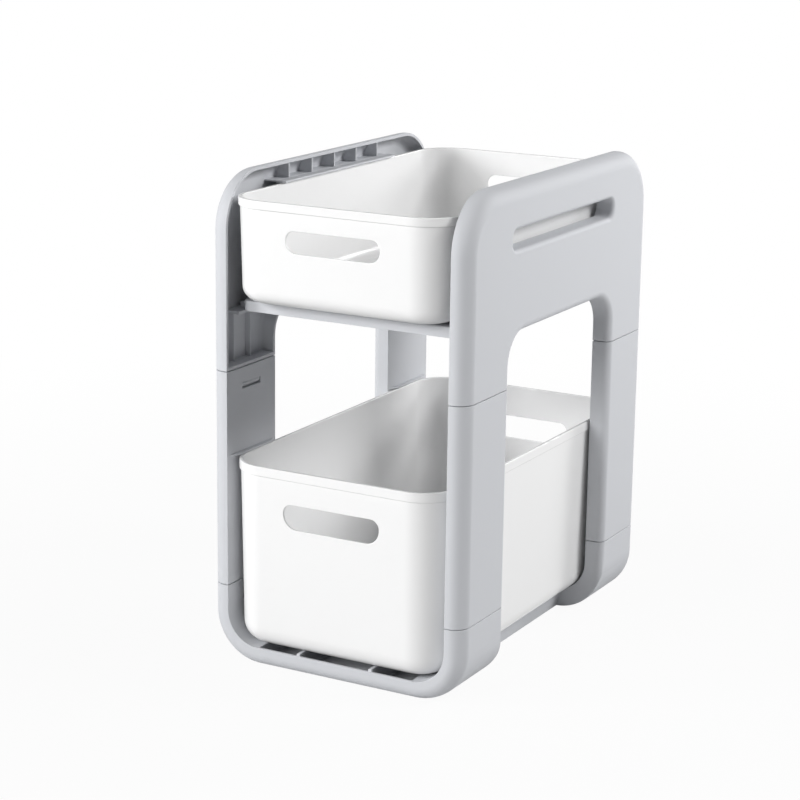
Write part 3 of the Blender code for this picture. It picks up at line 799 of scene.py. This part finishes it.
class RACK_OT_posts(bpy.types.Operator):
    """Four hollow posts: a rounded plan run from seam to seam, with plug, socket and ledge"""

    bl_idname = "rack.posts"
    bl_label = "Posts"

    def execute(self, context):
        for side_name, side in SIDES:
            for end_name, end in ENDS:
                made = self.post(context, side, end)
                dress_frame(context, made, f"post_{end_name}_{side_name}")
        return {"FINISHED"}

    def post(self, context, side, end):
        """One post's shell with its plug, bored through below and open as a socket above."""
        legs = context.scene.rack_legs
        foot = LOWER_SEAM + legs.seam
        floor = foot + legs.foot_lip
        shell = leg_column(legs, side, end, 0, foot, UPPER_SEAM)
        made = join(shell, leg_plug(legs, side, end, LOWER_SEAM))
        bore = plug_bore(legs, side, end, LOWER_SEAM, floor + legs.overrun)
        socket = leg_column(legs, side, end, legs.wall, floor, UPPER_SEAM + legs.overrun)
        made = cut(made, bore, socket, latch_window(legs, side, end, UPPER_SEAM))
        middle = leg_middle(legs, side, end)[1]
        ledge = context.scene.rack_post_ledge
        return join(made, guide_ledge(legs, ledge, side, middle, LOWER_RIM))


def panel_outline(legs, panel, foot):
    """Side view of an end panel: up the rear, over the top, down the front and under the arch."""
    middle = (BASE_Y - panel.corner, PANEL_TOP - panel.corner)
    over = stroke(*arc(middle, panel.corner, 0, WIDE_ARC), legs.outer_fillet)
    rear = np.vstack([stroke((BASE_Y, foot), (1, 0), legs.outer_fillet), over])
    arch = BASE_Y - legs.depth
    middle = (arch - panel.arch_radius, panel.arch_top - panel.arch_radius)
    points, normals = arc(middle, panel.arch_radius, 90, WIDE_ARC, -90)
    crown = stroke(points, -normals, legs.arch_fillet)
    rear_arch = np.vstack([crown, stroke((arch, foot), (-1, 0), legs.arch_fillet)])
    return np.vstack([rear, mirrored(rear), mirrored(rear_arch), rear_arch])


def panel_body(side, outline, face, mouth):
    """Loft from the mouth plane out to the face, with the outline's fillets round its edge."""
    flat, depth = fillet_rings(outline)
    edge = np.concatenate([(face - depth)[..., None], flat], axis=-1)
    mouth_ring = np.column_stack([np.full(len(outline), mouth), outline[:, :2]])
    return loft("panel", np.concatenate([mouth_ring[None], edge]) * (side, 1, 1))


def handle_rings(panel, grow):
    """Rounded rectangles of the handle slot, one for each amount by which it grows all round."""
    half = (panel.handle_length / 2, panel.handle_height / 2)
    rings = rounded_rings(half, panel.handle_radius, -np.asarray(grow, float), ARC)
    return rings + (0, panel.handle_middle)


def rounded_rings(half, radius, inset, steps):
    """Rounded rectangles as (ring, point, uv), one for each inset.

    The corners' middles stay at the half sizes less the radius, and each ring's points lie round
    them at the radius less its inset, at even angles through a quarter turn a corner.
    """
    signs = np.array(((1, 1), (-1, 1), (-1, -1), (1, -1)))
    middles = np.repeat(signs * (np.asarray(half) - radius), steps + 1, axis=0)
    quarter = np.linspace(0, pi / 2, steps + 1)
    angle = (np.arange(4)[:, None] * pi / 2 + quarter).ravel()
    normals = np.stack([np.cos(angle), np.sin(angle)], axis=1)
    return middles + (radius - np.reshape(inset, (-1, 1, 1))) * normals


class RACK_OT_end_panels(bpy.types.Operator):
    """Two end panels: a filleted loft, less an inner one that leaves ribs, ledges and collar"""

    bl_idname = "rack.end_panels"
    bl_label = "End panels"

    def execute(self, context):
        left = self.panel(context, -1)
        right = add_object("panel", left.data.copy())
        right.data.transform(Matrix.Scale(-1, 4, (1, 0, 0)))
        dress_frame(context, left, "side_panel_left")
        dress_frame(context, right, "side_panel_right")
        return {"FINISHED"}

    def panel(self, context, side):
        """The panel's shell on one side; the other side's is its mirror image."""
        legs = context.scene.rack_legs
        panel = context.scene.rack_panel
        foot = UPPER_SEAM + legs.seam
        body = panel_body(side, panel_outline(legs, panel, foot), PANEL_X, legs.inner)
        inner = inset_outline(panel_outline(legs, panel, foot + legs.foot_lip), legs.wall)
        mouth = legs.inner - legs.overrun
        hollow = panel_body(side, inner, PANEL_X - legs.wall, mouth)
        hollow = cut(hollow, *self.ribs(context, side), self.collar(legs, panel, side))
        made = cut(body, hollow, self.handle(legs, panel, side))
        additions = []
        for _, end in ENDS:
            plug = leg_plug(legs, side, end, UPPER_SEAM)
            additions.append(cut(plug, plug_bore(legs, side, end, UPPER_SEAM, foot)))
        ledge = context.scene.rack_panel_ledge
        additions.append(guide_ledge(legs, ledge, side, 0, UPPER_RIM))
        return join(made, *additions)

    def ribs(self, context, side):
        """Blocks that stay standing in the hollow: the ribs, the rim ledge and the shelf ledge."""
        legs = context.scene.rack_legs
        panel = context.scene.rack_panel
        ledge = context.scene.rack_panel_ledge
        face = PANEL_X + legs.overrun
        deep = (legs.inner + panel.rib_recess, face)
        roof = PANEL_TOP + legs.overrun
        collar = panel.handle_middle + panel.handle_height / 2
        under = collar - panel.handle_height
        shelf_top = panel.shelf_ledge
        shelf_low = shelf_top - legs.wall
        over_tongue = shelf_top + context.scene.rack_shelf.tongue_height + 2 * legs.gap
        made = []
        for i in RIBS:
            y = span(i * panel.rib_pitch, legs.rib)
            made.append(side_box(side, deep, y, (collar, roof)))
            made.append(side_box(side, deep, y, (over_tongue, under)))
        low = UPPER_RIM + ledge.clearance
        reach = ledge.half - ledge.lead
        z = (low + legs.gap, low + ledge.height - legs.gap)
        made.append(side_box(side, (legs.inner, face), (-reach, reach), z))
        made.append(side_box(side, deep, (-SHELF_Y, SHELF_Y), (shelf_low, shelf_top)))
        low_rib = (legs.inner + panel.leg_rib_recess, face)
        z = (UPPER_SEAM, shelf_low + legs.rib)
        for _, end in ENDS:
            middle = leg_middle(legs, side, end)[1]
            for y in span(middle, legs.depth / 3):
                made.append(side_box(side, low_rib, span(y, legs.rib), z))
        return made

    def collar(self, legs, panel, side):
        """Block round the handle slot; its inner end stands clear of the hollow's own mouth."""
        ends = np.array((legs.inner - 2 * legs.overrun, PANEL_X + legs.overrun))
        return loft("collar", stack(handle_rings(panel, panel.collar), "X", side * ends))

    def handle(self, legs, panel, side):
        """Cutter for the handle slot, which widens in a quarter round towards the face."""
        wider, depth = quarter_round(panel.handle_lip, ARC)
        grow = (0, *wider, panel.handle_lip)
        x = np.array((legs.inner - legs.overrun, *(PANEL_X - depth), PANEL_X + legs.overrun))
        return loft("handle", stack(handle_rings(panel, grow), "X", side * x))


class RACK_OT_shelf(bpy.types.Operator):
    """Shelf: a rounded tray lofted up to its top, hollowed below, with rails and tongues"""

    bl_idname = "rack.shelf"
    bl_label = "Shelf"

    def execute(self, context):
        legs = context.scene.rack_legs
        base = context.scene.rack_base
        shelf = context.scene.rack_shelf
        panel = context.scene.rack_panel
        half = np.array((legs.inner - shelf.end_clearance, SHELF_Y))
        low = shelf.top - shelf.height
        inset, depth = quarter_round(shelf.fillet, FINE)
        rings = rounded_rings(half, shelf.corner, (*inset[::-1], 0), ARC)
        made = loft("shelf", stack(rings, "Z", (*(shelf.top - depth[::-1]), low)))
        counts = (shelf.columns, shelf.rows)
        levels = (low - legs.overrun, shelf.top - legs.wall)
        made = cut(made, join(*pockets(half - legs.wall, counts, levels, legs.rib)))
        additions = []
        tongue = panel.shelf_ledge + legs.gap
        rail_half = half[1] - shelf.corner
        tongue_half = rail_half - shelf.tongue_setback
        for _, side in SIDES:
            x = (half[0] - legs.wall / 2, half[0] + shelf.tongue_reach)
            z = (tongue, tongue + shelf.tongue_height)
            additions.append(side_box(side, x, (-tongue_half, tongue_half), z))
            x = span(base.rail_offset, base.rail_width)
            z = (shelf.top - legs.wall / 2, RAIL_TOP)
            additions.append(side_box(side, x, (-rail_half, rail_half), z))
        dress_frame(context, join(made, *additions), "shelf", "tray")
        return {"FINISHED"}


def bin_grid(sizes, height):
    """Rings of a bin: up the drafted wall, over the rim and down again to the inner floor.

    A wall's inset from the rim's outline is the rim's reach plus the height below the rim times
    the draft's slope, and one wall more inside. Floors and lips are quarter rounds.
    """
    slope = tan(sizes.draft)

    def foot(radius, shift, low):
        """Insets and heights of the round stretch between a floor and a wall."""
        start = sizes.rim_proud + shift + (height - sizes.floor_radius) * slope
        rise, inset = quarter_round(radius, ARC)
        return np.array((start + inset, low + rise))

    def wall(shift, low, high):
        """Insets and heights of the straight stretch of a wall."""
        z = np.linspace(low, high, WALL_RINGS)
        return np.array((sizes.rim_proud + shift + (height - z) * slope, z))

    lip = sizes.rim_rounding
    under = height - sizes.rim
    mouth = sizes.rim_proud + sizes.wall
    inner_radius = sizes.floor_radius - sizes.wall
    edge, drop = quarter_round(lip, FINE)
    crown = np.array((edge, height - drop))
    parts = (
        foot(sizes.floor_radius, 0, 0),
        wall(0, sizes.floor_radius, under)[:, 1:],
        np.array(((0, 0), (under, height - lip))),
        crown[:, 1:],
        np.array((mouth - crown[0], crown[1]))[:, ::-1],
        wall(sizes.wall, sizes.floor_radius, height - 2 * lip)[:, ::-1],
        foot(inner_radius, sizes.wall, sizes.wall)[:, -2::-1],
    )
    inset, z = np.concatenate(parts, axis=1)
    return stack(rounded_rings((BIN_X, BIN_Y), sizes.corner, inset, WIDE_ARC), "Z", z)


def hand_slot(sizes, reach):
    """Cutter for the hand slots front and rear: tighter corners above than below."""
    half = sizes.slot_length / 2
    high = sizes.slot_high_radius
    low = sizes.slot_low_radius
    outline = np.vstack(
        [
            arc((half - high, sizes.slot_high - high), high, 0, ARC)[0],
            arc((high - half, sizes.slot_high - high), high, 90, ARC)[0],
            arc((low - half, sizes.slot_low + low), low, 180, ARC)[0],
            arc((half - low, sizes.slot_low + low), low, 270, ARC)[0],
        ]
    )
    return prism(outline, "Y", -reach, reach)


class RACK_OT_bins(bpy.types.Operator):
    """Two bins: one closed loft each, with a hand slot cut through its front and its rear"""

    bl_idname = "rack.bins"
    bl_label = "Bins"

    def execute(self, context):
        material = finish_of(bin_plastic, context.scene.rack_finishes.bin)
        for level, low, rim in (("lower", LOWER_LOW, LOWER_RIM), ("upper", UPPER_LOW, UPPER_RIM)):
            node = f"{level}_bin"
            sizes = getattr(context.scene, f"rack_{node}")
            made = cut(loft(node, bin_grid(sizes, rim - low)), hand_slot(sizes, 2 * BIN_Y))
            made.data.transform(Matrix.Translation((0, 0, low)))
            body = f"{level}_drawer"
            dress(made, f"{node}_shell", [node], body, material, sizes.slot_rounding)
        return {"FINISHED"}


class RACK_OT_studio(bpy.types.Operator):
    """Studio: a pale floor, four soft lights, an even surrounding and the camera"""

    bl_idname = "rack.studio"
    bl_label = "Studio"

    def execute(self, context):
        stage = context.scene.rack_stage
        self.floor(context)
        middle = Vector(CAD_BOX[0]).lerp(Vector(CAD_BOX[1]), 0.5)
        for name, place, size in LAMPS:
            self.light(name, Vector(place), middle, size, getattr(stage, name))
        context.scene.world = self.surroundings(stage.world)
        context.scene.camera = self.camera(stage)
        context.scene.view_settings.view_transform = "Standard"
        return {"FINISHED"}

    def floor(self, context):
        """Flat floor that is white to the camera far out and keeps the rack's shadow near it."""
        corners = np.array(((-1, -1), (1, -1), (1, 1), (-1, 1))) * FLOOR_HALF
        mesh = bpy.data.meshes.new("floor")
        mesh.from_pydata(np.column_stack([corners, np.zeros(4)]), [], [(0, 1, 2, 3)])
        shader = new_shader("studio_floor")
        settings = {"operation": "LENGTH"}
        far = shader.node("VectorMath", settings, {0: shader.place()}, "Value")
        seen = shader.ray("Camera") + shader.ray("Glossy") + shader.ray("Transmission")
        veil = VEIL + far.spread(*FADE) * (1 - VEIL)
        colour = shade(context.scene.rack_finishes.floor, 1)
        matt = shader.node("BsdfDiffuse", None, {"Color": colour})
        white = shader.node("Emission", None, {"Color": WHITE, "Strength": 1.0})
        share = seen.at_most(1) * veil
        mixed = shader.node("MixShader", None, {0: share, 1: matt, 2: white})
        mesh.materials.append(shader.output(mixed))
        made = add_object("floor", mesh)

    def light(self, name, place, aim, size, power):
        """Round soft light that points at the rack's middle."""
        lamp = bpy.data.lights.new(name, "AREA")
        lamp.shape = "DISK"
        lamp.size = size
        lamp.energy = power
        made = add_object(name, lamp)
        made.location = place
        made.rotation_euler = (aim - place).to_track_quat("-Z", "Y").to_euler()

    def surroundings(self, strength):
        """Even white world, which the camera sees at full white."""
        shader = Shader(bpy.data.worlds.new("studio"))
        level = strength + shader.ray("Camera") * (1 - strength)
        lit = shader.node("Background", None, {"Color": WHITE, "Strength": level})
        return shader.output(lit, "OutputWorld")

    def camera(self, stage):
        """Camera from its turn, height angle and roll: its back, right and up directions."""
        turn, lift, roll = stage.azimuth, stage.elevation, stage.roll
        back = Vector((sin(turn) * cos(lift), -cos(turn) * cos(lift), sin(lift)))
        right = Vector((cos(turn), sin(turn), 0))
        up = back.cross(right)
        rolled_right = cos(roll) * right + sin(roll) * up
        rolled_up = cos(roll) * up - sin(roll) * right
        axes = Matrix((rolled_right, rolled_up, back)).transposed().to_4x4()
        view = bpy.data.cameras.new("camera")
        view.sensor_width = 36
        view.lens = stage.lens
        made = add_object("camera", view)
        made.matrix_world = Matrix.Translation(stage.place) @ axes
        return made


class RACK_PT_panel(bpy.types.Panel):
    """Lists the builders in the sidebar."""

    bl_idname = "RACK_PT_panel"
    bl_label = "Storage rack"
    bl_space_type = "VIEW_3D"
    bl_region_type = "UI"
    bl_category = "Rack"

    def draw(self, context):
        for operator in OPERATORS:
            self.layout.operator(operator.bl_idname)
        for group in ("rack_finishes", "rack_stage", "rack_legs"):
            settings = getattr(context.scene, group)
            column = self.layout.column()
            for key in settings.__annotations__:
                column.prop(settings, key)


GROUPS = {
    "rack_legs": LegSizes,
    "rack_post_ledge": LedgeSizes,
    "rack_panel_ledge": LedgeSizes,
    "rack_base": BaseSizes,
    "rack_panel": PanelSizes,
    "rack_shelf": ShelfSizes,
    "rack_lower_bin": BinSizes,
    "rack_upper_bin": BinSizes,
    "rack_finishes": Finishes,
    "rack_stage": StageSettings,
}
OPERATORS = (
    RACK_OT_base,
    RACK_OT_foot_pads,
    RACK_OT_posts,
    RACK_OT_end_panels,
    RACK_OT_shelf,
    RACK_OT_bins,
    RACK_OT_studio,
)
CLASSES = (*dict.fromkeys(GROUPS.values()), *OPERATORS, RACK_PT_panel)


def register():
    for entry in CLASSES:
        bpy.utils.register_class(entry)
    for name, group in GROUPS.items():
        setattr(bpy.types.Scene, name, PointerProperty(type=group))


def unregister():
    for name in GROUPS:
        delattr(bpy.types.Scene, name)
    for entry in reversed(CLASSES):
        bpy.utils.unregister_class(entry)


# Sizes in which like pieces differ: a bin's heights run up from its own underside
OWN_SIZES = {
    "rack_panel_ledge": {"proud": 0.008, "height": 0.002, "lead": 0.002, "half": 0.0995},
    "rack_lower_bin": {
        "floor_radius": 0.019,
        "rim": 0.0085,
        "draft": radians(1.0),
        "slot_low": 0.1343 - LOWER_LOW,
        "slot_high": 0.1563 - LOWER_LOW,
        "slot_length": 0.094,
        "slot_low_radius": 0.0130,
    },
    "rack_upper_bin": {"slot_low": 0.3747 - UPPER_LOW, "slot_high": 0.3937 - UPPER_LOW},
}


def set_sizes(scene):
    for group, sizes in OWN_SIZES.items():
        for key, size in sizes.items():
            setattr(getattr(scene, group), key, size)


def main():
    register()
    set_sizes(bpy.context.scene)
    for operator in OPERATORS:
        group, name = operator.bl_idname.split(".")
        getattr(getattr(bpy.ops, group), name)()


if __name__ == "__main__":
    main()
